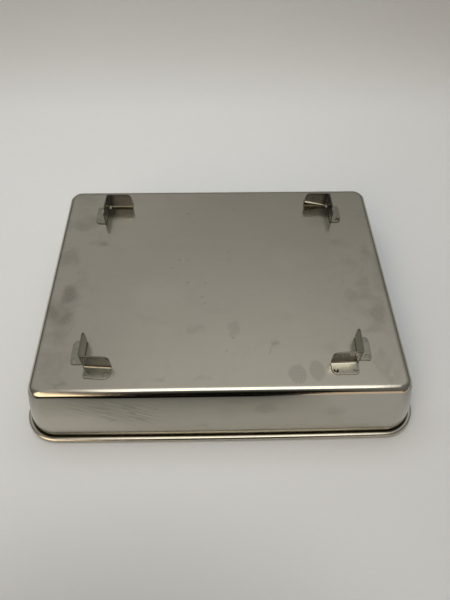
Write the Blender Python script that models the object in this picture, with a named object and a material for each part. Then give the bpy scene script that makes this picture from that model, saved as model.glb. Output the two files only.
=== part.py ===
"""Oil drain pan: a pressed stainless steel pan with four sheet brackets spot-welded to its base.

The pan lies upside down on its rolled rim, as it is stored, with its base up and its cavity open
downwards. When it is turned over, it stands on the edges of the four brackets. Units are metres,
+X runs along the long side, +Z is up, and the rim rests on z = 0 with its outline centred on the origin.
"""

import math

import bmesh
import bpy
from mathutils import Matrix, Vector

# Pan
RIM_LENGTH = 0.3630  # outer size of the rim at the middle of its sides
RIM_WIDTH = 0.2834
PAN_HEIGHT = 0.0635  # from the floor to the outside of the base
PAN_SHEET = 0.0008  # sheet thickness
WALL_TILT = math.radians(11.9)  # the walls' draft, measured from the vertical
BASE_BEND = 0.0073  # outer radius of the bend between the base and the walls
BASE_CORNER = 0.012  # plan radius of the corners, where the walls' and the base's planes meet
FOOT_CORNER = 0.026  # plan radius of the corners at the walls' foot
CORNER_GROWTH = 3  # power of the way down a wall by which its corner's radius grows
RIM_BOW = 0.0009  # how far the middle of each side of the rim bows out; the base's edges are straight
CURL_RADIUS = 0.00245  # outer radius of the rolled rim
CURL_FLAT = 0.0008  # width of the flat that the rolled rim rests on
CURL_END = math.radians(315)  # where the rolled edge ends, just short of the wall

# Brackets, which are four copies of one bent sheet
BRACKET_SHEET = 0.001
LEG = 0.0257  # length of each leg of the L, over the outside of its corner
BRACKET_TOP = 0.0182  # height of a bracket's top edge over the base
FLANGE = 0.011  # reach of a foot flange, from the outside of its wall to its edge
BEND = 0.001  # inner radius of every bend
CORNER_OPEN = math.radians(1.35)  # how far each leg is bent open from square
FREE_CORNER = 0.0055  # rounding at the free ends of the walls and flanges
NEAR_CORNER = 0.003  # rounding of a flange beside the bracket's corner

# Each bracket's outer corner on the base, and its turn in degrees from square, as it was welded on
BRACKETS = {
    "front_left": (-0.1193, -0.0969, -2.05),
    "front_right": (0.1204, -0.0965, 0.05),
    "back_right": (0.1192, 0.0968, -0.35),
    "back_left": (-0.1184, 0.0976, -1.55),
}

# Spot welds, two through each flange
WELD_ALONG = (0.0055, 0.0222)  # distances from the bracket's corner, along the flange
WELD_OUT = 0.0073  # distance from the outside of the wall
WELD_RADIUS = 0.0019
WELD_DISH = 0.0003  # how deep the middle of a weld is pressed in

GAP = 0.0003  # clearance between pieces that touch

# Mesh fineness
CORNER_STEPS = 8
SIDE_STEPS = 4
BEND_STEPS = 6
WALL_STEPS = 6
CURL_STEPS = 15
BRACKET_STEPS = 4
ROUND_STEPS = 16
SMOOTH_ANGLE = math.radians(35)


def steps(start, end, count):
    """The numbers from start to end, both included, in count equal steps."""
    return [start + (end - start) * k / count for k in range(count + 1)]


def clear_scene():
    for thing in list(bpy.data.objects):
        bpy.data.objects.remove(thing)


def metal(name, colour, roughness):
    material = bpy.data.materials.new(name)
    material.use_nodes = True
    shader = material.node_tree.nodes["Principled BSDF"]
    shader.inputs["Base Color"].default_value = (*colour, 1)
    shader.inputs["Metallic"].default_value = 1
    shader.inputs["Roughness"].default_value = roughness
    return material


def add_object(name, mesh, parent=None, location=(0, 0, 0)):
    thing = bpy.data.objects.new(name, mesh)
    bpy.context.scene.collection.objects.link(thing)
    thing.parent = parent
    thing.location = location
    return thing


def mesh_from(name, material, grids, caps=()):
    """A smooth-shaded mesh from grids of points, each a list of equal rows, and from loops that are capped."""
    bm = bmesh.new()
    made = {}

    def vertex(point):
        key = tuple(round(value, 8) for value in point)
        if key not in made:
            made[key] = bm.verts.new(point)
        return made[key]

    for rows in grids:
        for upper, lower in zip(rows, rows[1:]):
            for k in range(len(upper) - 1):
                corners = (upper[k], lower[k], lower[k + 1], upper[k + 1])
                bm.faces.new([vertex(point) for point in corners])
    for loop in caps:
        bm.faces.new([vertex(point) for point in loop])
    mesh = bpy.data.meshes.new(name)
    bm.to_mesh(mesh)
    bm.free()
    mesh.materials.append(material)
    mesh.shade_smooth()
    mesh.set_sharp_from_angle(angle=SMOOTH_ANGLE)
    return mesh


def thicken(thing, thickness):
    """Makes a sheet's outside surface a sheet of this thickness, which grows inwards."""
    solidify = thing.modifiers.new("sheet", "SOLIDIFY")
    solidify.thickness = thickness
    solidify.offset = -1
    solidify.use_even_offset = True


def foot_out():
    """How far out from the base's edge the wall's line is, at the height of the roll's centre."""
    return (PAN_HEIGHT - CURL_RADIUS) * math.tan(WALL_TILT)


def pan_profile():
    """The pan's outside surface as (distance out from the base's edge, height) points, base to rolled edge."""
    inner = CURL_RADIUS - PAN_SHEET
    bend_out = -BASE_BEND * (1 - math.sin(WALL_TILT)) / math.cos(WALL_TILT)
    curl_out = foot_out() + inner / math.cos(WALL_TILT)
    bend = [
        (bend_out + BASE_BEND * math.sin(turn), PAN_HEIGHT - BASE_BEND * (1 - math.cos(turn)))
        for turn in steps(0, math.pi / 2 - WALL_TILT, BEND_STEPS)
    ]
    turn_out = [
        (curl_out - inner * math.cos(turn), CURL_RADIUS - inner * math.sin(turn))
        for turn in steps(WALL_TILT, math.pi / 2, BEND_STEPS // 2)
    ]
    roll = [
        (curl_out + CURL_FLAT - inner * math.cos(turn), CURL_RADIUS - inner * math.sin(turn))
        for turn in steps(math.pi / 2, CURL_END, CURL_STEPS)
    ]
    start, end = Vector(bend[-1]), Vector(turn_out[0])
    wall = [tuple(start.lerp(end, share)) for share in steps(0, 1, WALL_STEPS)[1:-1]]
    return bend + wall + turn_out + roll


def plan_loop(out, height):
    """A closed loop of points round the pan, this far out from the base's edge."""
    foot = foot_out()
    way = min(max(out / foot, 0), 1)
    radius = BASE_CORNER + (FOOT_CORNER - BASE_CORNER) * way**CORNER_GROWTH
    radius += min(out, 0) + max(out - foot, 0)
    rim = foot + (CURL_RADIUS - PAN_SHEET) / math.cos(WALL_TILT) + CURL_FLAT + CURL_RADIUS
    centre_x = RIM_LENGTH / 2 - RIM_BOW - rim + out - radius
    centre_y = RIM_WIDTH / 2 - RIM_BOW - rim + out - radius
    corners = ((1, 1), (-1, 1), (-1, -1), (1, -1))
    points = []
    for quarter, (side_x, side_y) in enumerate(corners):
        centre = Vector((side_x * centre_x, side_y * centre_y))
        for turn in steps(quarter * math.pi / 2, (quarter + 1) * math.pi / 2, CORNER_STEPS):
            arm = Vector((math.cos(turn), math.sin(turn)))
            points.append(centre + radius * arm)
        next_x, next_y = corners[(quarter + 1) % 4]
        next_centre = Vector((next_x * centre_x, next_y * centre_y))
        for share in steps(0, 1, SIDE_STEPS)[1:-1]:
            bow = RIM_BOW * way * (1 - (2 * share - 1) ** 2)
            points.append(centre.lerp(next_centre, share) + (radius + bow) * arm)
    points.append(points[0])
    return [(point.x, point.y, height) for point in points]


def build_pan(material):
    loops = [plan_loop(out, height) for out, height in pan_profile()]
    mesh = mesh_from("pan_shell", material, [loops], caps=[loops[0][:-1]])
    thicken(add_object("pan_shell", mesh), PAN_SHEET)


def cut_off(distance, radius):
    """How much a rounded corner takes off an edge, at this distance from the edge's end."""
    short = max(0.0, radius - distance)
    return radius - math.sqrt(radius**2 - short**2)


def flange_reach(along):
    near = cut_off(along - BEND - BRACKET_SHEET, NEAR_CORNER)
    return FLANGE - near - cut_off(LEG - along, FREE_CORNER)


def leg_places():
    """Distances from the bracket's corner at which a leg's outline is drawn, from its bend to its free end."""
    start = BEND + BRACKET_SHEET
    quarter = steps(0, math.pi / 2, BRACKET_STEPS)
    near = [start + NEAR_CORNER * (1 - math.cos(turn)) for turn in quarter]
    far = [LEG - FREE_CORNER * (1 - math.sin(turn)) for turn in quarter]
    return near + far


def leg_point(along, out, height, mirrored):
    """A point of a leg that lies nearly along +X, or, mirrored in the L's diagonal, nearly along +Y."""
    centre = Vector((BEND + BRACKET_SHEET, BEND + BRACKET_SHEET))
    x, y = centre + Matrix.Rotation(-CORNER_OPEN, 2) @ (Vector((along, -out)) - centre)
    return (y, x, height) if mirrored else (x, y, height)


def flange_grid(mirrored):
    """The foot flange and the bend up to its wall, on their outside."""
    foot = BRACKET_SHEET + BEND
    bend = [
        (BEND * (1 - math.sin(turn)), foot - BEND * math.cos(turn))
        for turn in steps(0, math.pi / 2, BRACKET_STEPS)
    ]
    rows = []
    for along in leg_places():
        section = [(flange_reach(along), BRACKET_SHEET)] + bend
        rows.append([leg_point(along, out, height, mirrored) for out, height in section])
    return rows[::-1] if mirrored else rows


def wall_grid():
    """Both walls and the upright bend between them, on their outside, from one free end to the other."""
    foot = BRACKET_SHEET + BEND
    top = BRACKET_TOP - GAP

    def leg(mirrored):
        heights = [(along, top - cut_off(LEG - along, FREE_CORNER)) for along in leg_places()]
        return [[leg_point(along, 0, z, mirrored) for z in (height, foot)] for along, height in heights]

    turns = steps(1.5 * math.pi - CORNER_OPEN, math.pi + CORNER_OPEN, BRACKET_STEPS)[1:-1]
    bend = [(foot + foot * math.cos(turn), foot + foot * math.sin(turn)) for turn in turns]
    corner = [[(x, y, z) for z in (top, foot)] for x, y in bend]
    return leg(mirrored=False)[::-1] + corner + leg(mirrored=True)


def weld_places():
    """Each weld's place on the bracket, first along one leg's flange and then along the other's."""
    return [
        leg_point(along, WELD_OUT, 0, mirrored)
        for mirrored in (False, True)
        for along in WELD_ALONG
    ]


def disc_mesh(name, material, sections):
    """A turned solid from (radius, height) sections, top to bottom, closed at both ends on its axis."""
    turns = steps(0, 2 * math.pi, ROUND_STEPS)
    rings = [
        [(radius * math.cos(turn), radius * math.sin(turn), height) for turn in turns[:-1]]
        for radius, height in sections
    ]
    closed = [ring + ring[:1] for ring in rings]
    return mesh_from(name, material, [closed], caps=[rings[0], rings[-1][::-1]])


def build_bracket_mesh(material):
    grids = [wall_grid(), flange_grid(mirrored=False), flange_grid(mirrored=True)]
    return mesh_from("bracket", material, grids)


def build_weld_mesh(material):
    top = BRACKET_SHEET
    sections = (
        (0.4 * WELD_RADIUS, top - WELD_DISH),
        (0.8 * WELD_RADIUS, top - WELD_DISH / 3),
        (WELD_RADIUS, top - WELD_DISH / 3),
        (WELD_RADIUS, 0),
    )
    return disc_mesh("weld", material, sections)


def build_hole_mesh(material):
    radius = WELD_RADIUS + GAP
    return disc_mesh("weld_hole", material, ((radius, 2 * BRACKET_SHEET), (radius, -BRACKET_SHEET)))


def add_hole(bracket, name, mesh, corner, place):
    cutter = add_object(name, mesh, corner, place)
    cutter.hide_render = True
    cutter.display_type = "WIRE"
    cut = bracket.modifiers.new(name, "BOOLEAN")
    cut.operation = "DIFFERENCE"
    cut.solver = "EXACT"
    cut.object = cutter


def build_brackets(bracket_material, weld_material):
    """The four brackets, each on an empty at its outer corner, with the welds that hold it."""
    bracket_mesh = build_bracket_mesh(bracket_material)
    weld_mesh = build_weld_mesh(weld_material)
    hole_mesh = build_hole_mesh(weld_material)
    for quarter, (place, (x, y, turn)) in enumerate(BRACKETS.items()):
        corner = add_object("corner_" + place, None, location=(x, y, PAN_HEIGHT + GAP))
        corner.rotation_euler.z = quarter * math.pi / 2 + math.radians(turn)
        bracket = add_object("bracket_" + place, bracket_mesh, corner)
        thicken(bracket, BRACKET_SHEET)
        for number, spot in enumerate(weld_places(), start=1):
            add_hole(bracket, f"hole_{place}_{number}", hole_mesh, corner, spot)
            add_object(f"weld_{place}_{number}", weld_mesh, corner, spot)


def main():
    clear_scene()
    pan_steel = metal("pan_steel", (0.44, 0.43, 0.40), 0.32)
    bracket_steel = metal("bracket_steel", (0.40, 0.39, 0.36), 0.28)
    weld_steel = metal("weld_steel", (0.20, 0.17, 0.13), 0.45)
    build_pan(pan_steel)
    build_brackets(bracket_steel, weld_steel)


main()
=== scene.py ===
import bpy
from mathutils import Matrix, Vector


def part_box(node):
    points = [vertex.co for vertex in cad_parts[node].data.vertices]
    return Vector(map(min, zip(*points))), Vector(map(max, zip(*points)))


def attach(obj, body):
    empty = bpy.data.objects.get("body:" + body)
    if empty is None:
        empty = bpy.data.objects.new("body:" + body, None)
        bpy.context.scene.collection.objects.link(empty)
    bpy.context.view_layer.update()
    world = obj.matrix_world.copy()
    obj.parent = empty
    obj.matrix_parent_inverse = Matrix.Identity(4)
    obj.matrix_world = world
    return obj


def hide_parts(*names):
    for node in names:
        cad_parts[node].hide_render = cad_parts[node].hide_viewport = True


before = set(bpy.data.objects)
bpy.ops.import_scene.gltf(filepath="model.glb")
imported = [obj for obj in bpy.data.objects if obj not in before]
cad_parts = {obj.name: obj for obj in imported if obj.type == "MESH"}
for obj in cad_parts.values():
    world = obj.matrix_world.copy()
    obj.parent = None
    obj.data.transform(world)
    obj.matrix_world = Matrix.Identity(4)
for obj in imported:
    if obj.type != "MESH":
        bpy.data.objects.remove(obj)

"""The looks of the oil drain pan: a satin stainless pan, upside down, with spot-welded sheet brackets.

Every piece is drawn finely over the CAD node that it stands for, in metres, in the row's frame:
+X along the pan's long side, +Y away from the camera, +Z up, and the rim resting on z = 0.
"""

import math

import bmesh
import bpy
from mathutils import Matrix, Vector
from mathutils.geometry import delaunay_2d_cdt

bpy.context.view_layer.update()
PAN_LOW, PAN_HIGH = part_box("pan_shell")
PAN_HEIGHT = PAN_HIGH.z
RIM_HALF = Vector((PAN_HIGH.x - PAN_LOW.x, PAN_HIGH.y - PAN_LOW.y)) / 2

# Pan, as in the CAD
PAN_SHEET = 0.0008
WALL_TILT = math.radians(11.9)
BASE_BEND = 0.0073
BASE_CORNER = 0.012
FOOT_CORNER = 0.026
CORNER_GROWTH = 3
RIM_BOW = 0.0009
CURL_RADIUS = 0.00245
CURL_FLAT = 0.0008
CURL_END = math.radians(315)
INSET = 0.00003  # keeps the fine surface just inside the CAD's faceted one
CREVICE_SHADE_TOP = 0.0085  # how high the painted shade in the crevice over the rolled rim reaches
CREVICE_SHADE_FADE = 0.003

# Brackets, as in the CAD
BRACKET_SHEET = 0.001
LEG = 0.0257
BRACKET_TOP = 0.0182
FLANGE = 0.011
BEND = 0.001
CORNER_OPEN = math.radians(1.35)
FREE_CORNER = 0.0055
NEAR_CORNER = 0.003
WELD_ALONG = (0.0055, 0.0222)
WELD_OUT = 0.0073
FOOT_LIFT = 0.00002  # the feet's height over the base
WALL_TOP = BRACKET_TOP - FOOT_LIFT
PLACES = ("front_left", "front_right", "back_right", "back_left")

# Mesh rows up a bracket's section
FLANGE_ROWS = 8
BEND_ROWS = 8
WALL_ROWS = 8

# The foot bends' inner radii beside the corner and at the free end, along the legs on local X and Y
FOOT_BENDS = {
    "front_left": ((0.0012, 0.0012), (0.001, 0.0013)),
    "front_right": ((0.001, 0.0014), (0.001, 0.0014)),
    "back_right": ((0.001, 0.0075), (0.001, 0.0012)),
    "back_left": ((0.001, 0.0013), (0.001, 0.0016)),
}

# Welds
HEAT_REACH = 0.009  # how far from a weld's middle its heat has tinted the sheet
WELD_PROFILE = (  # (radius, height over the flange), from the middle of a weld outwards
    (0.0003, 0.00008),
    (0.0009, 0.00006),
    (0.0013, 0.00016),
    (0.0017, 0.00024),
    (0.0021, 0.00018),
    (0.0024, 0.00003),
)

# How steeply a flange curls up to its wall, on the legs on local X and Y
FLANGE_TILTS = {
    "front_left": (0.0, math.radians(2.5)),
    "front_right": (0.0, math.radians(9)),
    "back_right": (0.0, 0.0),
    "back_left": (0.0, 0.0),
}

# Painted sheen: how bright each upright wall's sheet is painted, standing in for what it reflects, on the
# legs on local X and Y
PAINTED_WALL_SHEENS = {
    "front_left": (0.2, 0.0),
    "front_right": (0.0, 0.9),
    "back_right": (0.55, 0.0),
    "back_left": (0.0, 0.75),
}

# How badly each weld is scorched
SCORCH = {
    "front_left": (0.6, 0.2, 0.15, 0.15),
    "front_right": (0.25, 0.25, 0.2, 1.0),
    "back_right": (0.2, 0.2, 0.25, 1.0),
    "back_left": (0.15, 0.15, 0.15, 0.15),
}

# Camera
CAMERA_PLACE = Vector((-0.00299, -0.2943, 0.4384))
CAMERA_RIGHT = Vector((0.999787, -0.019400, 0.006998))
CAMERA_BACK = Vector((-0.016933, -0.578497, 0.815509))
LENS = 29.22

# The room round the stage
DEGREES = 57.3  # in a radian
BENCH_COLOUR = (0.77, 0.59, 0.45, 1)
GLOW_COLOUR = (2.4, 1.9, 1.4, 1)
GLOW_START = 10  # degrees from overhead to the glow's upper edge, where it starts on the left
GLOW_ACROSS = 0.376  # how far left that is, as the direction's share along -X
GLOW_CLIMB = 509.0  # degrees that the edge drops for each unit towards the right

# The paper's sweep, from where it leaves the floor
SWEEP_START = 0.41
SWEEP_RADIUS = 0.20
SWEEP_TOP = 1.6


def steps(start, end, count):
    """The numbers from start to end, both included, in count equal steps."""
    return [start + (end - start) * k / count for k in range(count + 1)]


def smooth(value):
    """A smooth ramp from 0 to 1 as value goes from 0 to 1."""
    value = min(1.0, max(0.0, value))
    return value * value * (3 - 2 * value)


# ---- Meshes ----


def new_object(name, bm, material):
    """A new object in the scene, of one material, from a bmesh that this frees."""
    mesh = bpy.data.meshes.new(name)
    bm.to_mesh(mesh)
    bm.free()
    mesh.materials.append(material)
    mesh.shade_smooth()
    thing = bpy.data.objects.new(name, mesh)
    bpy.context.scene.collection.objects.link(thing)
    return thing


def bridge_rows(bm, rows, closed):
    """Quads between rows of vertices, whose first and last columns also join where closed is true."""
    for upper, lower in zip(rows, rows[1:]):
        count = len(upper)
        for k in range(count if closed else count - 1):
            after = (k + 1) % count
            bm.faces.new((upper[k], lower[k], lower[after], upper[after]))


def weld_centres():
    """The middle of each weld on the floor plan, from the CAD's weld nodes, by bracket."""
    centres = {}
    for place in PLACES:
        boxes = [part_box(f"weld_{place}_{number}") for number in range(1, 5)]
        centres[place] = [(low + high) / 2 for low, high in boxes]
    return centres


WELDS = weld_centres()
ALL_WELDS = [centre for place in PLACES for centre in WELDS[place]]


def weld_distance(x, y):
    """How far a point of the floor plan is from the nearest weld's middle."""
    return min(math.hypot(x - weld.x, y - weld.y) for weld in ALL_WELDS)


# ---- Pan ----


def foot_out():
    """How far the wall's outside plane is out from the base's edge, at the height of the roll's middle."""
    return (PAN_HEIGHT - CURL_RADIUS) * math.tan(WALL_TILT)


def curl_out():
    """How far out the middle of the arc is that turns the wall outwards into the roll."""
    return foot_out() + (CURL_RADIUS - PAN_SHEET) / math.cos(WALL_TILT)


def base_half():
    """Half the base's length and width, out to where its plane meets the walls' outside planes."""
    rim_out = curl_out() + CURL_FLAT + CURL_RADIUS
    return RIM_HALF - Vector((1, 1)) * (RIM_BOW + rim_out)


def section(depth):
    """The pan's section as (out, height) points, this deep into the sheet from its outside."""
    bend_out = -BASE_BEND * (1 - math.sin(WALL_TILT)) / math.cos(WALL_TILT)
    reach = BASE_BEND - depth
    middle_height = PAN_HEIGHT - BASE_BEND
    bend = [
        (bend_out + reach * math.sin(turn), middle_height + reach * math.cos(turn))
        for turn in steps(0, math.pi / 2 - WALL_TILT, 18)
    ]
    radius = CURL_RADIUS - PAN_SHEET + depth
    middle = curl_out()
    turn_out = [
        (middle - radius * math.cos(turn), CURL_RADIUS - radius * math.sin(turn))
        for turn in steps(WALL_TILT, math.pi / 2, 8)
    ]
    roll = [
        (middle + CURL_FLAT - radius * math.cos(turn), CURL_RADIUS - radius * math.sin(turn))
        for turn in steps(math.pi / 2, CURL_END, 30)
    ]
    start, end = Vector(bend[-1]), Vector(turn_out[0])
    wall = [tuple(start.lerp(end, share)) for share in steps(0, 1, 12)[1:-1]]
    edge = (bend_out - 0.0006, PAN_HEIGHT - depth)
    return [edge] + bend + wall + turn_out + roll


def plan_loop(out):
    """Points round the pan on the floor plan, this far out from the base's edge."""
    foot = foot_out()
    way = min(max(out / foot, 0), 1)
    radius = BASE_CORNER + (FOOT_CORNER - BASE_CORNER) * way**CORNER_GROWTH
    radius += min(out, 0) + max(out - foot, 0)
    half = base_half() + Vector((1, 1)) * (out - INSET - radius)
    corners = ((1, 1), (-1, 1), (-1, -1), (1, -1))
    points = []
    for quarter, (side_x, side_y) in enumerate(corners):
        centre = Vector((side_x * half.x, side_y * half.y))
        for turn in steps(quarter * math.pi / 2, (quarter + 1) * math.pi / 2, 20):
            arm = Vector((math.cos(turn), math.sin(turn)))
            points.append(centre + radius * arm)
        next_x, next_y = corners[(quarter + 1) % 4]
        next_centre = Vector((next_x * half.x, next_y * half.y))
        for share in steps(0, 1, 72)[1:-1]:
            bow = RIM_BOW * way * (1 - (2 * share - 1) ** 2)
            points.append(centre.lerp(next_centre, share) + (radius + bow) * arm)
    return points


def fill_flat(bm, ring, height, mark, downwards):
    """Fills a flat inside a ring of vertices, with finer points round each weld, raised by mark(distance)."""
    outline = [Vector((vertex.co.x, vertex.co.y)) for vertex in ring]
    edges = [(k, (k + 1) % len(outline)) for k in range(len(outline))]
    inside = []
    for weld in ALL_WELDS:
        inside.append(Vector((weld.x, weld.y)))
        for radius in (0.0006, 0.0012, 0.0018, 0.0024, 0.003, 0.004, 0.006, HEAT_REACH):
            for turn in steps(0, 2 * math.pi, 20)[:-1]:
                inside.append(Vector((weld.x + radius * math.cos(turn), weld.y + radius * math.sin(turn))))
    flat = delaunay_2d_cdt(outline + inside, edges, [], 1, 1e-7)
    made = []
    for point, origins in zip(flat[0], flat[3]):
        known = [k for k in origins if k < len(outline)]
        if known:
            made.append(ring[known[0]])
        else:
            made.append(bm.verts.new((point.x, point.y, height + mark(weld_distance(point.x, point.y)))))
    for face in flat[2]:
        corners = [made[k] for k in face]
        bm.faces.new(corners[::-1] if downwards else corners)


def electrode_mark(distance):
    """How far the sheet's inside is raised at this distance from a weld's middle."""
    return 0.00015 * smooth((0.0028 - distance) / 0.0008)


def build_pan(material):
    """The pan's sheet: its section carried round the plan, and the flats that close it on both sides."""
    bm = bmesh.new()
    heat = bm.verts.layers.float.new("heat")
    painted_crevice_shade = bm.verts.layers.float.new("painted_crevice_shade")
    outside, inside = section(0), section(PAN_SHEET)
    rows = []
    for out, height in outside + inside[::-1]:
        rows.append([bm.verts.new((point.x, point.y, height)) for point in plan_loop(out)])
    # Painted shade: the wall's foot in the crevice just above the roll is darkened in colour, fading out
    # upwards.
    for row, (out, height) in zip(rows, outside):
        tucked = height > CURL_RADIUS and out < curl_out() - 0.0002
        for vertex in row:
            vertex[painted_crevice_shade] = smooth((CREVICE_SHADE_TOP - height) / CREVICE_SHADE_FADE) if tucked else 0.0
    bridge_rows(bm, rows, closed=True)
    fill_flat(bm, rows[0], PAN_HEIGHT, lambda distance: 0.0, downwards=False)
    fill_flat(bm, rows[-1], PAN_HEIGHT - PAN_SHEET, electrode_mark, downwards=True)
    for vertex in bm.verts:
        distance = weld_distance(vertex.co.x, vertex.co.y)
        on_base = vertex.co.z > PAN_HEIGHT - BASE_BEND
        vertex[heat] = max(0.0, 1 - distance / HEAT_REACH) if on_base else 0.0
    return new_object("pan_body", bm, material)


# ---- Brackets ----


def cut_off(distance, radius):
    """How much a rounded corner takes off an edge, at this distance from the edge's end."""
    short = max(0.0, radius - distance)
    return radius - math.sqrt(radius**2 - short**2)


def flange_reach(along):
    """How far out the flange's edge is at this distance along a leg."""
    near = cut_off(along - BEND - BRACKET_SHEET, NEAR_CORNER)
    return FLANGE - near - cut_off(LEG - along, FREE_CORNER)


def leg_places():
    """Distances from the bracket's corner at which a leg is drawn, from its upright bend to its free end."""
    start = BEND + BRACKET_SHEET
    quarter = steps(0, math.pi / 2, 8)
    near = [start + NEAR_CORNER * (1 - math.cos(turn)) for turn in quarter]
    far = [LEG - FREE_CORNER * (1 - math.sin(turn)) for turn in quarter]
    return near + steps(near[-1], far[0], 12)[1:-1] + far


def foot_bend(along, bends):
    """The foot bend's inner radius at this distance along a leg."""
    near, far = bends
    start = BEND + BRACKET_SHEET
    radius = near + (far - near) * max(0.0, along - start) / (LEG - start)
    radius = min(radius, flange_reach(along) - 0.0005)
    return BEND + (radius - BEND) * smooth((along - start) / 0.004)


def flange_lift(along, out, tilt):
    """How far a flange that curls up to its wall at this tilt is above its flat place."""
    share = smooth((along - BEND - BRACKET_SHEET + 0.001) / 0.003)
    return share * math.tan(tilt) * (FLANGE - max(out, 0.0)) ** 2 / (2 * FLANGE)


def bracket_column(along, depth, bends, tilt):
    """(out, height) points up a leg's section, flange edge to top edge, this deep into the sheet."""
    inner = foot_bend(along, bends)
    foot = BRACKET_SHEET + inner
    radius = inner + depth
    bend = [
        (inner - radius * math.sin(turn), foot - radius * math.cos(turn))
        for turn in steps(0, math.pi / 2, BEND_ROWS)
    ]
    flange = [(out, bend[0][1]) for out in steps(flange_reach(along), inner, FLANGE_ROWS)[:-1]]
    lifted = [(out, height + flange_lift(along, out, tilt)) for out, height in flange + bend]
    top = WALL_TOP - cut_off(LEG - along, FREE_CORNER)
    wall = [(bend[-1][0], height) for height in steps(lifted[-1][1], top, WALL_ROWS)[1:]]
    return lifted + wall


def leg_point(along, out, height, mirrored):
    """A point of a leg that lies nearly along +X, or, mirrored in the L's diagonal, nearly along +Y."""
    centre = Vector((BEND + BRACKET_SHEET, BEND + BRACKET_SHEET))
    x, y = centre + Matrix.Rotation(-CORNER_OPEN, 2) @ (Vector((along, -out)) - centre)
    return (y, x, height) if mirrored else (x, y, height)


class PointMesh:
    """Faces made from their corner points, which share a vertex where they share a point."""

    def __init__(self):
        self.bm = bmesh.new()
        self.made = {}

    def vertex(self, point):
        key = tuple(round(value, 7) for value in point)
        if key not in self.made:
            self.made[key] = self.bm.verts.new(point)
        return self.made[key]

    def face(self, points):
        return self.bm.faces.new([self.vertex(point) for point in points])

    def sheet(self, columns, flip):
        """Quads between columns of points, which face the other way where flip is true."""
        for left, right in zip(columns, columns[1:]):
            for k in range(len(left) - 1):
                corners = [left[k], right[k], right[k + 1], left[k + 1]]
                self.face(corners[::-1] if flip else corners)


def leg_columns(mirrored, depth, bends, tilt):
    """A leg's foot and wall as columns of points, this deep into the sheet."""
    return [
        [
            leg_point(along, out, height, mirrored)
            for out, height in bracket_column(along, depth, bends, tilt)
        ]
        for along in leg_places()
    ]


def corner_columns(depth):
    """The upright bend between the two walls as columns of points, this deep into the sheet."""
    foot = BRACKET_SHEET + BEND
    radius = foot - depth
    return [
        [
            (foot + radius * math.cos(turn), foot + radius * math.sin(turn), height)
            for height in steps(foot, WALL_TOP, WALL_ROWS)
        ]
        for turn in steps(1.5 * math.pi - CORNER_OPEN, math.pi + CORNER_OPEN, 8)
    ]


def sheet_outline(along_x, along_y, corner):
    """The sheet's whole edge, once round: the top edge, and down and back along each leg's flange."""
    bend_row = FLANGE_ROWS + BEND_ROWS
    top = [column[-1] for column in reversed(along_x)][:-1]
    top += [column[-1] for column in corner] + [column[-1] for column in along_y][1:]
    edge = top + along_y[-1][::-1][1:]
    edge += [column[0] for column in reversed(along_y)][1:] + along_y[0][1 : bend_row + 1]
    edge += [column[0] for column in reversed(corner)][1:]
    edge += along_x[0][: bend_row + 1][::-1][1:]
    edge += [column[0] for column in along_x][1:] + along_x[-1][1:]
    return edge


def build_bracket_mesh(name, material, bends, tilts, painted_sheens):
    """One bent sheet, in its own frame: its outer corner at the origin and its legs along +X and +Y."""
    mesh = PointMesh()
    sheared = mesh.bm.faces.layers.float.new("sheared")
    heat = mesh.bm.verts.layers.float.new("heat")
    painted_sheen = mesh.bm.verts.layers.float.new("painted_sheen")
    outlines = []
    for depth in (0.0, BRACKET_SHEET):
        along_x = leg_columns(False, depth, bends[0], tilts[0])
        along_y = leg_columns(True, depth, bends[1], tilts[1])
        corner = corner_columns(depth)
        inside = depth > 0
        mesh.sheet(along_x, inside)
        mesh.sheet(along_y, not inside)
        mesh.sheet(corner, not inside)
        outlines.append(sheet_outline(along_x, along_y, corner))
    outer, inner = outlines
    for k in range(len(outer) - 1):
        mesh.face((outer[k], outer[k + 1], inner[k + 1], inner[k]))[sheared] = 1.0
    bmesh.ops.recalc_face_normals(mesh.bm, faces=mesh.bm.faces)
    spots = [
        leg_point(along, WELD_OUT, 0, mirrored)[:2]
        for mirrored in (False, True)
        for along in WELD_ALONG
    ]
    for vertex in mesh.bm.verts:
        x, y, height = vertex.co
        distance = min(math.hypot(x - weld_x, y - weld_y) for weld_x, weld_y in spots)
        vertex[heat] = max(0.0, 1 - math.hypot(distance, height) / HEAT_REACH)
        # Painted sheen: the wall's share of the brighter wall colour, fading in away from the corner.
        vertex[painted_sheen] = painted_sheens[x < y] * smooth((max(x, y) - 0.004) / 0.004)
    return new_object(name, mesh.bm, material)


def bracket_frame(place):
    """The bracket's own frame in the row's: its outer corner and its turn, from where the CAD's welds are."""
    first, second = WELDS[place][:2]
    turn = math.atan2(second.y - first.y, second.x - first.x) + CORNER_OPEN
    spin = Matrix.Rotation(turn, 4, "Z")
    corner = first - spin @ Vector(leg_point(WELD_ALONG[0], WELD_OUT, 0, False))
    corner.z = PAN_HEIGHT + FOOT_LIFT
    return Matrix.Translation(corner) @ spin


def build_brackets(bracket_material, weld_material):
    """The four brackets and their welds, by the name of the CAD node that each stands for."""
    made = {}
    for place in PLACES:
        matrix = bracket_frame(place)
        bracket = build_bracket_mesh(
            "sheet_" + place, bracket_material, FOOT_BENDS[place], FLANGE_TILTS[place], PAINTED_WALL_SHEENS[place]
        )
        bracket.matrix_world = matrix
        soften = bracket.modifiers.new("broken_edges", "BEVEL")
        soften.width = 0.00006
        soften.segments = 2
        soften.angle_limit = math.radians(50)
        made["bracket_" + place] = bracket
        for number, centre in enumerate(WELDS[place], start=1):
            name = f"spot_{place}_{number}"
            weld = build_weld(name, weld_material, SCORCH[place][number - 1])
            tilt = FLANGE_TILTS[place][number > 2]
            lift = flange_lift(WELD_ALONG[(number - 1) % 2], WELD_OUT, tilt)
            weld.matrix_world = matrix @ Matrix.Rotation(tilt * (1 - WELD_OUT / FLANGE), 4, "Y")
            weld.location = (centre.x, centre.y, matrix.translation.z + BRACKET_SHEET + lift)
            made[f"weld_{place}_{number}"] = weld
    return made


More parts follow.
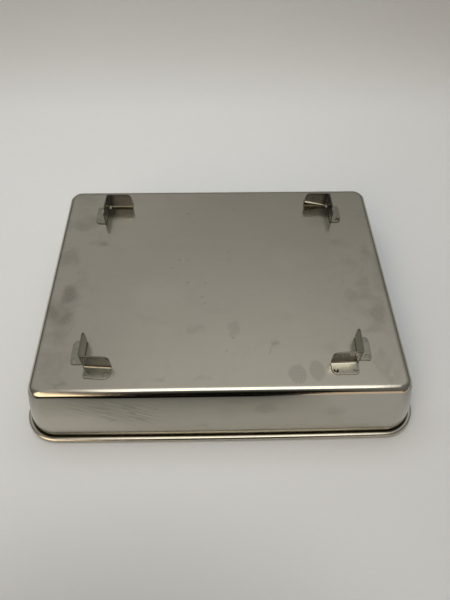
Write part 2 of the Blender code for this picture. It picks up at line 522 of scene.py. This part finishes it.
def build_weld(name, material, scorch):
    """A spot weld's dished mark with its low lip, turned about +Z, closed underneath."""
    bm = bmesh.new()
    depth = bm.verts.layers.float.new("scorch")
    turns = steps(0, 2 * math.pi, 28)[:-1]
    sections = WELD_PROFILE + ((0.0022, -0.0004),)
    lip = 0.15 + 0.45 * scorch
    rows = [
        [bm.verts.new((radius * math.cos(turn), radius * math.sin(turn), height * lip)) for turn in turns]
        for radius, height in sections
    ]
    bridge_rows(bm, rows, closed=True)
    bm.faces.new(rows[0])
    bm.faces.new(rows[-1][::-1])
    for vertex in bm.verts:
        vertex[depth] = scorch
    return new_object(name, bm, material)


# ---- Materials ----


class Nodes:
    """Adds nodes to a tree, each with its settings and inputs, and returns what they give."""

    def __init__(self, tree):
        self.tree = tree
        self.tree.nodes.clear()

    def add(self, kind, inputs=None, **settings):
        node = self.tree.nodes.new(kind)
        for name, value in settings.items():
            setattr(node, name, value)
        for name, value in (inputs or {}).items():
            self.put(node.inputs[name], value)
        return node

    def put(self, socket, value):
        if isinstance(value, bpy.types.NodeSocket):
            self.tree.links.new(value, socket)
        else:
            socket.default_value = value

    def math(self, operation, first, second=0.0, third=0.0):
        values = {0: first, 1: second}
        if operation == "MULTIPLY_ADD":
            values[2] = third
        return self.add("ShaderNodeMath", values, operation=operation).outputs[0]

    def vector(self, operation, first, second=(0, 0, 0)):
        node = self.add("ShaderNodeVectorMath", {0: first, 1: second}, operation=operation)
        return node.outputs["Value" if operation == "LENGTH" else "Vector"]

    def place(self):
        """Where a point of the piece is, in the piece's own frame."""
        return self.add("ShaderNodeTexCoord").outputs["Object"]

    def split(self, vector):
        return self.add("ShaderNodeSeparateXYZ", {0: vector}).outputs

    def attribute(self, name):
        """A number that the mesh's vertices or faces carry."""
        return self.add("ShaderNodeAttribute", attribute_name=name).outputs["Fac"]

    def bump(self, height, strength, distance, under=None):
        """The normal of a surface with this relief, on top of the relief of another normal."""
        inputs = {"Strength": strength, "Distance": distance, "Height": height}
        if under:
            inputs["Normal"] = under
        return self.add("ShaderNodeBump", inputs).outputs[0]

    def ramp(self, value, start, end, low=0.0, high=1.0):
        """value's smooth change from low to high between start and end."""
        node = self.add(
            "ShaderNodeMapRange",
            {"Value": value, "From Min": start, "From Max": end, "To Min": low, "To Max": high},
            interpolation_type="SMOOTHSTEP",
        )
        return node.outputs["Result"]

    def noise(self, place, scale, detail, stretch=(1, 1, 1), roughness=0.5, distortion=0.0):
        moved = self.vector("MULTIPLY", place, stretch)
        inputs = {
            "Vector": moved,
            "Scale": scale,
            "Detail": detail,
            "Roughness": roughness,
            "Distortion": distortion,
        }
        return self.add("ShaderNodeTexNoise", inputs).outputs["Fac"]

    def mix_number(self, share, first, second):
        node = self.add("ShaderNodeMix", {"Factor": share}, data_type="FLOAT")
        self.put(node.inputs[2], first)
        self.put(node.inputs[3], second)
        return node.outputs[0]

    def mix_colour(self, share, first, second, blend="MIX"):
        node = self.add("ShaderNodeMix", data_type="RGBA", blend_type=blend)
        self.put(node.inputs["Factor"], share)
        self.put(node.inputs[6], first)
        self.put(node.inputs[7], second)
        return node.outputs[2]


def new_material(name):
    material = bpy.data.materials.new(name)
    material.use_nodes = True
    return material, Nodes(material.node_tree)


def blot(nodes, place, centre, size, turn, edge):
    """1 in an oval on place's X and Y out to edge, a share of its size, and 0 outside the oval."""
    mapping = nodes.add(
        "ShaderNodeMapping",
        {"Vector": place, "Location": (centre[0], centre[1], 0), "Rotation": (0, 0, math.radians(turn))},
        vector_type="TEXTURE",
    )
    scaled = nodes.vector("MULTIPLY", mapping.outputs[0], (1 / size[0], 1 / size[1], 0))
    return nodes.ramp(nodes.vector("LENGTH", scaled), 1.0, edge)


def add_marks(nodes, tone, place, marks, edge):
    """tone with each mark's (x, y, half length, half width, turn, change) added, in mm and degrees."""
    for x, y, length, width, turn, change in marks:
        share = blot(nodes, place, (x / 1000, y / 1000), (length / 1000, width / 1000), turn, edge)
        tone = nodes.math("MULTIPLY_ADD", share, change, tone)
    return tone


def shaken(nodes, place, scale, reach):
    """place moved about by a noise, so that what is drawn there has an uneven outline."""
    noise = nodes.add("ShaderNodeTexNoise", {"Vector": place, "Scale": scale, "Detail": 2.0})
    away = nodes.vector("SUBTRACT", noise.outputs["Color"], (0.5, 0.5, 0.5))
    return nodes.vector("ADD", place, nodes.vector("MULTIPLY", away, (reach, reach, reach)))


def grey(nodes, tone):
    return nodes.add("ShaderNodeCombineColor", {"Red": tone, "Green": tone, "Blue": tone}).outputs[0]


def steel_surface(nodes, colour, roughness, bump):
    output = nodes.add("ShaderNodeOutputMaterial")
    shader = nodes.add(
        "ShaderNodeBsdfPrincipled",
        {"Base Color": colour, "Metallic": 1.0, "Roughness": roughness, "Normal": bump},
    )
    nodes.tree.links.new(shader.outputs[0], output.inputs[0])


# The steels' colours, before their tone; the brackets' flange and wall colours are lit and shaded copies of
# one steel, with a painted warm reflection on the flanges and painted sheen on the brighter walls
PAN_ALLOY = (0.60, 0.56, 0.463, 1)
WARM_LIT_FLANGE_STEEL = (0.455, 0.43, 0.345, 1)
SHADED_WALL_STEEL = (0.32, 0.315, 0.285, 1)
SHEEN_WALL_STEEL = (0.80, 0.77, 0.68, 1)

MARK_STRENGTH = 1.7  # of every mark on the pan

# Marks on the pan's base, as (x, y, half length, half width, turn, change of tone), in mm and degrees
BASE_SMUDGES = (
    (-142, -20, 14, 11, 10, -0.13),
    (-147, -43, 17, 19, 0, -0.13),
    (-143.5, -63, 13, 11, 0, -0.05),
    (-141, 75, 16, 17, 0, -0.10),
    (-157, 72, 5, 12, 0, -0.06),
    (-124, 44, 13, 7, 0, -0.11),
    (-149, 27, 14, 16, 0, -0.09),
    (-131, 5, 9, 3, -15, -0.05),
    (126, 42, 14, 7, 0, -0.05),
    (150, 30, 8, 16, 0, -0.06),
    (128, -24, 13, 10, 0, -0.06),
    (141, -12, 8, 14, 0, -0.05),
    (147.5, -46.5, 10, 12, 0, -0.10),
    (139, -61, 12, 6, 20, -0.07),
    (141, -96, 7, 18, 0, -0.07),
    (104, 74, 12, 9, 0, -0.05),
    (-23.5, -60, 11, 8, 0, -0.06),
    (14, -58, 6, 11, 0, -0.07),
    (48, -76.5, 7, 5, -30, -0.10),
    (45, -83, 8, 2.5, 62, -0.07),
    (-53, -106, 9, 4, 10, -0.06),
    (-16, -111.5, 9, 4, 0, -0.05),
    (-133.5, -115, 10, 4, 0, -0.08),
    (-106, 67, 9, 6, 0, -0.03),
    (96, -80, 12, 9, 20, -0.03),
    (70, 20, 30, 22, 10, 0.02),
    (-60, -20, 34, 26, 0, 0.02),
)
BASE_SPECKS = (
    (-33, 86, 2.5, 2, 0, -0.10),
    (-40, 22, 2.4, 1.6, 30, -0.10),
    (-31.5, 21.5, 1.8, 1.5, 0, -0.09),
    (-47, 11.5, 2.2, 1.6, 0, -0.09),
    (-31, -7, 1.8, 2.4, 0, -0.09),
    (-14, -8, 2.0, 1.6, 0, -0.08),
    (-17, -24.5, 2.2, 1.6, 40, -0.09),
    (-14.5, -31.5, 1.7, 1.5, 0, -0.08),
    (10, 32, 1.8, 1.5, 0, -0.08),
    (10, 21, 1.6, 1.8, 0, -0.08),
    (16, 92, 2.2, 1.6, 0, -0.08),
    (19.5, 86, 1.6, 1.6, 0, -0.08),
    (11, -70, 2.2, 1.8, 0, -0.10),
    (5, -83, 1.6, 1.4, 0, -0.08),
    (86, -20, 1.6, 2.2, 0, -0.06),
)
# Marks on the front wall, as above but on X and Z
WALL_SMUDGES = (
    (-17.5, 17, 9, 4, 0, -0.05),
    (39, 41, 13, 9, 0, -0.06),
    (13, 51, 10, 4, 0, -0.04),
    (-92, 38, 30, 12, -20, -0.03),
    (-79, 46, 8, 5, 0, -0.05),
    (-78, 37, 5, 2.5, -20, -0.07),
    (100, 35, 11, 8, 0, -0.05),
    (-96.5, 26, 3.5, 1.4, -20, -0.09),
    (-56.5, 42, 1.6, 1.6, 0, -0.10),
)


def finger_marks(nodes, place):
    """Ridges of two finger prints near the base's front edge."""
    rings = []
    for x, y, length, width in ((0.0655, -0.1065, 0.0088, 0.0105), (0.0827, -0.1035, 0.0075, 0.0115)):
        moved = nodes.vector("SUBTRACT", place, (x, y - 0.003, 0))
        oval = nodes.vector("MULTIPLY", moved, (1, 0.75, 0))
        distance = nodes.vector("LENGTH", oval)
        ridges = nodes.math("SINE", nodes.math("MULTIPLY", distance, 4200))
        share = blot(nodes, place, (x, y), (length, width), 0, 0.7)
        rings.append(nodes.math("MULTIPLY", share, nodes.math("MULTIPLY_ADD", ridges, 0.5, 0.5)))
    return nodes.math("ADD", *rings)


def scratches(nodes, place, turn, scale, share_low):
    """Thin broken lines that run at this turn on place's X and Y."""
    mapping = nodes.add(
        "ShaderNodeMapping", {"Vector": place, "Rotation": (0, 0, math.radians(turn))}, vector_type="TEXTURE"
    )
    lines = nodes.noise(mapping.outputs[0], scale, detail=1, stretch=(0.03, 1, 1))
    return nodes.ramp(lines, share_low, share_low + 0.06)


def base_marks(nodes, place, smears):
    """The change of tone from the base's marks: smudges, a haze along its two ends, specks and prints."""
    uneven = shaken(nodes, shaken(nodes, place, 45, 0.022), 220, 0.006)
    marked = add_marks(nodes, 0.0, uneven, BASE_SMUDGES, 0.35)
    patchy = nodes.ramp(nodes.noise(place, 70, detail=4), 0.38, 0.55, 0.45, 1.0)
    marked = nodes.math("MULTIPLY", marked, patchy)
    ends = nodes.ramp(nodes.math("ABSOLUTE", nodes.split(place)[0]), 0.09, 0.15)
    haze = nodes.math("MULTIPLY", nodes.ramp(smears, 0.46, 0.62), ends)
    marked = nodes.math("MULTIPLY_ADD", haze, -0.05, marked)
    marked = add_marks(nodes, marked, shaken(nodes, place, 400, 0.0012), BASE_SPECKS, 0.4)
    prints = finger_marks(nodes, shaken(nodes, place, 90, 0.004))
    return nodes.math("MULTIPLY_ADD", prints, -0.18, marked)


def wall_marks(nodes, across, height):
    """The change of tone from the front wall's marks: smudges, and a patch of slanting scratches."""
    upright = nodes.add("ShaderNodeCombineXYZ", {0: across, 1: height}).outputs[0]
    smudged = add_marks(nodes, 0.0, shaken(nodes, upright, 120, 0.007), WALL_SMUDGES, 0.5)
    patch = blot(nodes, upright, (-0.09, 0.038), (0.058, 0.021), -8, 0.4)
    scuffs = nodes.math("MULTIPLY", scratches(nodes, upright, -24, 1100, 0.54), patch)
    return nodes.math("MULTIPLY_ADD", scuffs, -0.17, smudged)


def pan_roughness(nodes, below, speckle, smears, marked):
    """Satin, with rougher smudges and smears, and polished where the base bends over to the walls."""
    rough = nodes.math("MULTIPLY_ADD", speckle, 0.10, 0.155)
    rough = nodes.math("MULTIPLY_ADD", marked, -0.2, rough)
    rough = nodes.math("MULTIPLY_ADD", nodes.ramp(smears, 0.45, 0.8), 0.05, rough)
    above_wall = nodes.ramp(below, BASE_BEND + 0.0017, BASE_BEND - 0.0003)
    on_bend = nodes.math("MULTIPLY", nodes.ramp(below, 0.0001, 0.0007), above_wall)
    return nodes.math("MULTIPLY_ADD", on_bend, -0.09, rough)


def pan_steel():
    material, nodes = new_material("pan_steel_satin")
    place = nodes.place()
    x, y, z = nodes.split(place)
    below = nodes.math("SUBTRACT", PAN_HEIGHT, z)
    on_base = nodes.ramp(below, 0.002, 0.0003)
    front = -base_half().y
    on_front = nodes.ramp(y, front + 0.005, front - 0.001)
    on_front = nodes.math("MULTIPLY", on_front, nodes.math("SUBTRACT", 1.0, on_base))
    clouds = nodes.noise(place, 14, detail=3)
    grain = nodes.noise(place, 260, detail=3, stretch=(0.05, 1, 1))
    speckle = nodes.noise(place, 1500, detail=2)
    smears = nodes.noise(place, 30, detail=5, roughness=0.6, distortion=0.8)
    tone = nodes.math("MULTIPLY_ADD", clouds, 0.10, 0.95)
    tone = nodes.math("MULTIPLY_ADD", nodes.ramp(smears, 0.52, 0.75), -0.04, tone)
    tone = nodes.math("MULTIPLY_ADD", grain, 0.04, nodes.math("SUBTRACT", tone, 0.02))
    tone = nodes.math("MULTIPLY_ADD", speckle, 0.08, nodes.math("SUBTRACT", tone, 0.04))
    marked = base_marks(nodes, place, smears)
    tone = nodes.math("MULTIPLY_ADD", nodes.math("MULTIPLY", marked, MARK_STRENGTH), on_base, tone)
    rubbed = wall_marks(nodes, x, z)
    tone = nodes.math("MULTIPLY_ADD", nodes.math("MULTIPLY", rubbed, MARK_STRENGTH), on_front, tone)

    steel = nodes.mix_colour(1.0, PAN_ALLOY, grey(nodes, tone), "MULTIPLY")
    heat = nodes.ramp(nodes.attribute("heat"), 0.2, 1.0, 0.0, 0.35)
    steel = nodes.mix_colour(heat, steel, (0.38, 0.30, 0.19, 1))
    # Painted shade: the crevice between the wall and the roll is darkened towards near black in colour.
    painted_crevice_shade = nodes.math("MULTIPLY", nodes.attribute("painted_crevice_shade"), 0.8)
    steel = nodes.mix_colour(painted_crevice_shade, steel, (0.10, 0.09, 0.075, 1))
    rough = pan_roughness(nodes, below, speckle, smears, marked)
    waves = nodes.bump(nodes.noise(place, 9, detail=1), 0.2, 0.002)
    steel_surface(nodes, steel, rough, nodes.bump(grain, 0.08, 0.00005, waves))
    return material


def bracket_steel():
    material, nodes = new_material("bracket_steel_brushed")
    place = nodes.place()
    grain = nodes.noise(place, 900, detail=3, stretch=(0.06, 0.06, 1))
    streaks = nodes.noise(place, 500, detail=2, stretch=(1, 1, 0.06))
    clouds = nodes.noise(place, 90, detail=3)
    tone = nodes.math("MULTIPLY_ADD", grain, 0.16, 0.84)
    tone = nodes.math("MULTIPLY_ADD", clouds, 0.12, nodes.math("SUBTRACT", tone, 0.06))
    tone = nodes.math("MULTIPLY_ADD", nodes.ramp(streaks, 0.55, 0.7), -0.14, tone)
    height = nodes.split(place)[2]
    # Painted light: the flanges get a warmer colour than the walls, and each wall a darker or brighter copy
    # of the same steel by its painted sheen.
    upright = nodes.ramp(height, 0.0016, 0.0034)
    painted_sheen = nodes.attribute("painted_sheen")
    lit_and_shaded_steel = nodes.mix_colour(upright, WARM_LIT_FLANGE_STEEL, nodes.mix_colour(painted_sheen, SHADED_WALL_STEEL, SHEEN_WALL_STEEL))
    steel = nodes.mix_colour(1.0, lit_and_shaded_steel, grey(nodes, tone), "MULTIPLY")
    heat = nodes.attribute("heat")
    steel = nodes.mix_colour(nodes.ramp(heat, 0.1, 1.0, 0.0, 0.22), steel, (0.34, 0.29, 0.20, 1))
    sheared = nodes.attribute("sheared")
    steel = nodes.mix_colour(nodes.math("MULTIPLY", sheared, 0.75), steel, (0.20, 0.18, 0.15, 1))
    rough = nodes.math("MULTIPLY_ADD", grain, 0.14, 0.13)
    rough = nodes.math("MULTIPLY_ADD", sheared, 0.2, rough)
    steel_surface(nodes, steel, rough, nodes.bump(grain, 0.3, 0.00004))
    return material


def weld_steel():
    material, nodes = new_material("weld_steel_scorched")
    place = nodes.place()
    scorch = nodes.attribute("scorch")
    radius = nodes.vector("LENGTH", nodes.vector("MULTIPLY", place, (1, 1, 0)))
    wobble = nodes.noise(place, 900, detail=2)
    radius = nodes.math("MULTIPLY_ADD", wobble, 0.0006, radius)
    ring = nodes.math("MULTIPLY", nodes.ramp(radius, 0.0008, 0.0013), nodes.ramp(radius, 0.0027, 0.0021))
    colour = nodes.mix_colour(ring, (0.50, 0.47, 0.40, 1), (0.035, 0.03, 0.02, 1))
    plain = nodes.mix_colour(wobble, (0.46, 0.44, 0.385, 1), (0.40, 0.38, 0.325, 1))
    colour = nodes.mix_colour(scorch, plain, colour)
    rough = nodes.math("MULTIPLY_ADD", wobble, 0.2, 0.25)
    steel_surface(nodes, colour, rough, nodes.bump(wobble, 0.4, 0.0001))
    return material


# ---- Studio ----


def aim(thing, place, target):
    thing.location = place
    thing.rotation_mode = "QUATERNION"
    thing.rotation_quaternion = (Vector(target) - Vector(place)).to_track_quat("-Z", "Y")


def area_light(name, place, target, size, radiance, colour=(1, 1, 1)):
    """A soft light at place that faces target; its radiance is that of its whole face."""
    light = bpy.data.lights.new(name, "AREA")
    light.shape = "RECTANGLE"
    light.size, light.size_y = size
    light.energy = radiance * math.pi * size[0] * size[1]
    light.color = colour
    thing = bpy.data.objects.new(name, light)
    bpy.context.scene.collection.objects.link(thing)
    aim(thing, place, target)
    return thing


def pale_wall(nodes, elevation, across):
    """The room's brightness behind the pan, which grows with height and changes towards the left."""
    pale = nodes.ramp(elevation, 36, 68, 0.26, 0.54)
    left = nodes.ramp(across, -0.01, -0.13)
    corner = nodes.math("MULTIPLY", nodes.ramp(across, -0.12, -0.30), nodes.ramp(elevation, 50, 62))
    pale = nodes.math("MULTIPLY", pale, nodes.math("MULTIPLY_ADD", corner, -0.30, 1.0))
    low_left = nodes.math("MULTIPLY", left, nodes.ramp(elevation, 50, 43))
    return nodes.math("MULTIPLY", pale, nodes.math("MULTIPLY_ADD", low_left, 0.28, 1.0))


def room_level(nodes, elevation, azimuth, across, away):
    """The room's brightness by elevation and azimuth in degrees, where azimuth 0 is towards the camera.

    It is pale behind the pan, dim on the camera's side, darker low down, and darkest behind the camera.
    """
    pale = pale_wall(nodes, elevation, across)
    dim = nodes.ramp(elevation, 20, 60, 0.15, 0.19)
    room = nodes.mix_number(nodes.ramp(away, -0.05, 0.15), dim, pale)
    low = nodes.ramp(azimuth, -60, -36, 0.15, 0.012)
    low = nodes.math("ADD", low, nodes.ramp(azimuth, 10, 25, 0.0, 0.138))
    room = nodes.mix_number(nodes.ramp(elevation, 18, 34), low, room)
    dark = nodes.ramp(elevation, 24, 40, 0.002, 0.03)
    dark = nodes.math("ADD", dark, nodes.ramp(elevation, 41, 47, 0.0, 0.10))
    dark = nodes.mix_number(nodes.ramp(elevation, 66, 74), dark, room)
    off_camera = nodes.math("ABSOLUTE", nodes.math("ADD", azimuth, 1.5))
    return nodes.mix_number(nodes.ramp(off_camera, 22, 15), room, dark)


def glow_share(nodes, azimuth, across, away, up):
    """Where the lamplit wall on the camera's left shows: below a line that climbs away to the left."""
    towards = nodes.math("MULTIPLY", away, -1.0)
    from_top = nodes.math("MULTIPLY", nodes.math("ARCTAN2", towards, up), DEGREES)
    line = nodes.math("MULTIPLY_ADD", across, GLOW_CLIMB, GLOW_START + GLOW_CLIMB * GLOW_ACROSS)
    below = nodes.ramp(nodes.math("SUBTRACT", from_top, line), -5, 5)
    share = nodes.math("MULTIPLY", below, nodes.ramp(from_top, 82, 74))
    depth = nodes.add("ShaderNodeLightPath").outputs["Ray Depth"]
    first_bounce = nodes.ramp(depth, 2.6, 2.4)  # the depth is 2 in the first reflection
    share = nodes.math("MULTIPLY", share, first_bounce)
    return nodes.math("MULTIPLY", share, nodes.ramp(azimuth, -64, -52))


def bench_share(nodes, elevation, azimuth):
    """Where a tan bench shows, low down on the camera's right."""
    sides = nodes.math("MULTIPLY", nodes.ramp(azimuth, 11, 14), nodes.ramp(azimuth, 34, 28))
    edges = nodes.math("MULTIPLY", nodes.ramp(elevation, 13, 10), nodes.ramp(elevation, -3, 0))
    return nodes.math("MULTIPLY", sides, edges)


def studio_world():
    """A soft room that lights the stage and shows in the metal; past the paper the camera sees plain grey."""
    world = bpy.data.worlds.new("studio")
    bpy.context.scene.world = world
    world.use_nodes = True
    nodes = Nodes(world.node_tree)
    x, y, z = nodes.split(nodes.add("ShaderNodeTexCoord").outputs["Generated"])
    elevation = nodes.math("MULTIPLY", nodes.math("ARCSINE", z), DEGREES)
    azimuth = nodes.math("ARCTAN2", x, nodes.math("MULTIPLY", y, -1.0))
    azimuth = nodes.math("MULTIPLY", azimuth, DEGREES)
    level = room_level(nodes, elevation, azimuth, x, y)
    colour = nodes.mix_colour(bench_share(nodes, elevation, azimuth), grey(nodes, level), BENCH_COLOUR)
    colour = nodes.mix_colour(glow_share(nodes, azimuth, x, y, z), colour, GLOW_COLOUR)
    background = nodes.add("ShaderNodeBackground", {"Color": colour, "Strength": 1.0})
    seen = nodes.add("ShaderNodeBackground", {"Color": (0.52, 0.50, 0.47, 1), "Strength": 1.0})
    camera_ray = nodes.add("ShaderNodeLightPath").outputs["Is Camera Ray"]
    mixed = nodes.add("ShaderNodeMixShader", {0: camera_ray, 1: background.outputs[0], 2: seen.outputs[0]})
    output = nodes.add("ShaderNodeOutputWorld")
    nodes.tree.links.new(mixed.outputs[0], output.inputs[0])


def floor_material():
    """Pale paper, with a painted shadow before the pan and painted shade up the sweep behind it."""
    material, nodes = new_material("paper_floor")
    place = nodes.place()
    clouds = nodes.noise(place, 2.5, detail=2)
    fibre = nodes.noise(place, 400, detail=3)
    tone = nodes.math("MULTIPLY_ADD", clouds, 0.04, 0.724)
    x, y, _ = nodes.split(place)
    # Painted shadow before the pan, a little to the left, and painted shade up the sweep, more to the right.
    shade = nodes.math("MULTIPLY", blot(nodes, place, (-0.10, -0.38), (0.32, 0.22), 0, 0.1), -0.27)
    shade = nodes.math("ADD", shade, nodes.ramp(y, 0.36, 0.60, 0.0, -0.285))
    beyond = nodes.math("MULTIPLY", nodes.ramp(y, 0.30, 0.60), nodes.ramp(x, -0.5, 0.5))
    shade = nodes.math("MULTIPLY_ADD", beyond, -0.02, shade)
    tone = nodes.math("ADD", tone, shade)
    colour = nodes.add("ShaderNodeCombineColor", {
        "Red": tone,
        "Green": nodes.math("MULTIPLY", tone, 1.03),
        "Blue": nodes.math("MULTIPLY", tone, 1.03),
    }).outputs[0]
    bump = nodes.bump(fibre, 0.1, 0.0001)
    output = nodes.add("ShaderNodeOutputMaterial")
    shader = nodes.add("ShaderNodeBsdfPrincipled", {"Base Color": colour, "Roughness": 0.8, "Normal": bump})
    nodes.tree.links.new(shader.outputs[0], output.inputs[0])
    return material


def paper_sheet(name, line, material):
    """A wide sheet of paper along X, through line's (y, z) points."""
    bm = bmesh.new()
    rows = [[bm.verts.new((x, y, z)) for x in steps(-3.0, 3.0, 12)] for y, z in line]
    bridge_rows(bm, rows, closed=False)
    sheet = new_object(name, bm, material)
    return sheet


def build_floor():
    """The paper the pan lies on, which sweeps up to a wall behind it; reflections don't see the wall."""
    material = floor_material()
    sweep = [
        (SWEEP_START + SWEEP_RADIUS * math.sin(turn), SWEEP_RADIUS * (1 - math.cos(turn)))
        for turn in steps(0, math.pi / 2, 24)
    ]
    paper_sheet("paper_floor", [(y, 0.0) for y in steps(-4.0, SWEEP_START, 12)[:-1]] + sweep, material)
    back = SWEEP_START + SWEEP_RADIUS
    wall = paper_sheet("paper_wall", [(back, z) for z in steps(SWEEP_RADIUS, SWEEP_TOP, 6)], material)
    wall.visible_glossy = False


def card_material(name, near, far, edge):
    """A card that glows as near by the pan, and changes to far between edge's two Y.

    Close to the pan it stays grey beside the middle and past the corners, and is a little brighter at the
    front left.
    """
    material, nodes = new_material(name)
    place = nodes.place()
    x, y, _ = nodes.split(place)
    close = nodes.ramp(y, -0.34, -0.26)
    beside = nodes.math("MAXIMUM", nodes.ramp(x, -0.12, -0.22), nodes.ramp(x, 0.04, 0.12))
    shaded = nodes.mix_colour(nodes.math("MULTIPLY", beside, close), (*far, 1), (0.38, 0.38, 0.38, 1))
    colour = nodes.mix_colour(nodes.ramp(y, *edge), (*near, 1), shaded)
    brighter = nodes.math("MULTIPLY", nodes.ramp(x, -0.06, -0.16, 0.0, 0.09), nodes.ramp(y, -0.18, -0.155))
    colour = nodes.mix_colour(1.0, colour, grey(nodes, brighter), "ADD")
    corner = nodes.math("MULTIPLY", nodes.ramp(nodes.math("ABSOLUTE", x), 0.18, 0.24), close)
    colour = nodes.mix_colour(corner, colour, (0.30, 0.31, 0.32, 1))
    glow = nodes.add("ShaderNodeEmission", {"Color": colour, "Strength": 1.0})
    output = nodes.add("ShaderNodeOutputMaterial")
    nodes.tree.links.new(glow.outputs[0], output.inputs[0])
    return material


def build_card(name, outline, height, material):
    """A flat card over the floor that only reflections see."""
    bm = bmesh.new()
    bm.faces.new([bm.verts.new((x, y, height)) for x, y in outline])
    card = new_object(name, bm, material)
    card.visible_camera = False
    card.visible_diffuse = False
    card.visible_shadow = False


def build_cards():
    """The shaded floor before the pan and the dark room behind it, and a tan bench low on the right."""
    seam = ((0.75, -3.3), (0.09, -0.27), (0.12, -0.15))
    dark = card_material("dark_card", (0.42, 0.42, 0.405), (0.003, 0.003, 0.003), (-0.158, -0.225))
    left = ((-0.17, -0.145), (-0.19, -0.10), (-0.45, -0.10), (-0.70, -0.60), (-3.0, -3.3))
    build_card("dark_card", (*left, *seam), 0.0006, dark)
    tan = card_material("tan_card", (0.43, 0.43, 0.44), (0.77, 0.62, 0.50), (-0.24, -0.34))
    right = ((0.17, -0.143), (0.19, -0.10), (1.2, -0.10), (2.6, -3.3))
    build_card("tan_card", (*right, *seam), 0.0008, tan)


def build_camera():
    """The camera, over the pan's front edge, with its frame made square from its right and its back."""
    camera = bpy.data.cameras.new("camera")
    camera.lens = LENS
    camera.sensor_width = 36
    thing = bpy.data.objects.new("camera", camera)
    bpy.context.scene.collection.objects.link(thing)
    back = CAMERA_BACK.normalized()
    right = (CAMERA_RIGHT - back * CAMERA_RIGHT.dot(back)).normalized()
    up = back.cross(right)
    turn = Matrix((right, up, back)).transposed().to_4x4()
    thing.matrix_world = Matrix.Translation(CAMERA_PLACE) @ turn
    bpy.context.scene.camera = thing


def build_lights():
    """One soft light that shows in the metal, and one that lights the paper alone."""
    overhead = area_light("overhead", (0.11, -0.5, 1.9), (0.11, -0.5, 0), (1.38, 1.09), 2.2, (1, 0.99, 0.96))
    overhead.visible_diffuse = False
    fill = area_light("fill", (-0.12, 0.31, 0.95), (-0.10, 0.29, 0), (1.2, 0.9), 2.0)
    fill.visible_glossy = False


def main():
    bpy.context.scene.view_settings.view_transform = "Standard"
    build_camera()
    studio_world()
    build_floor()
    build_cards()
    build_lights()
    pan = build_pan(pan_steel())
    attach(pan, "root")
    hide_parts("pan_shell")
    for node, piece in build_brackets(bracket_steel(), weld_steel()).items():
        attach(piece, "root")
        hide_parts(node)


main()
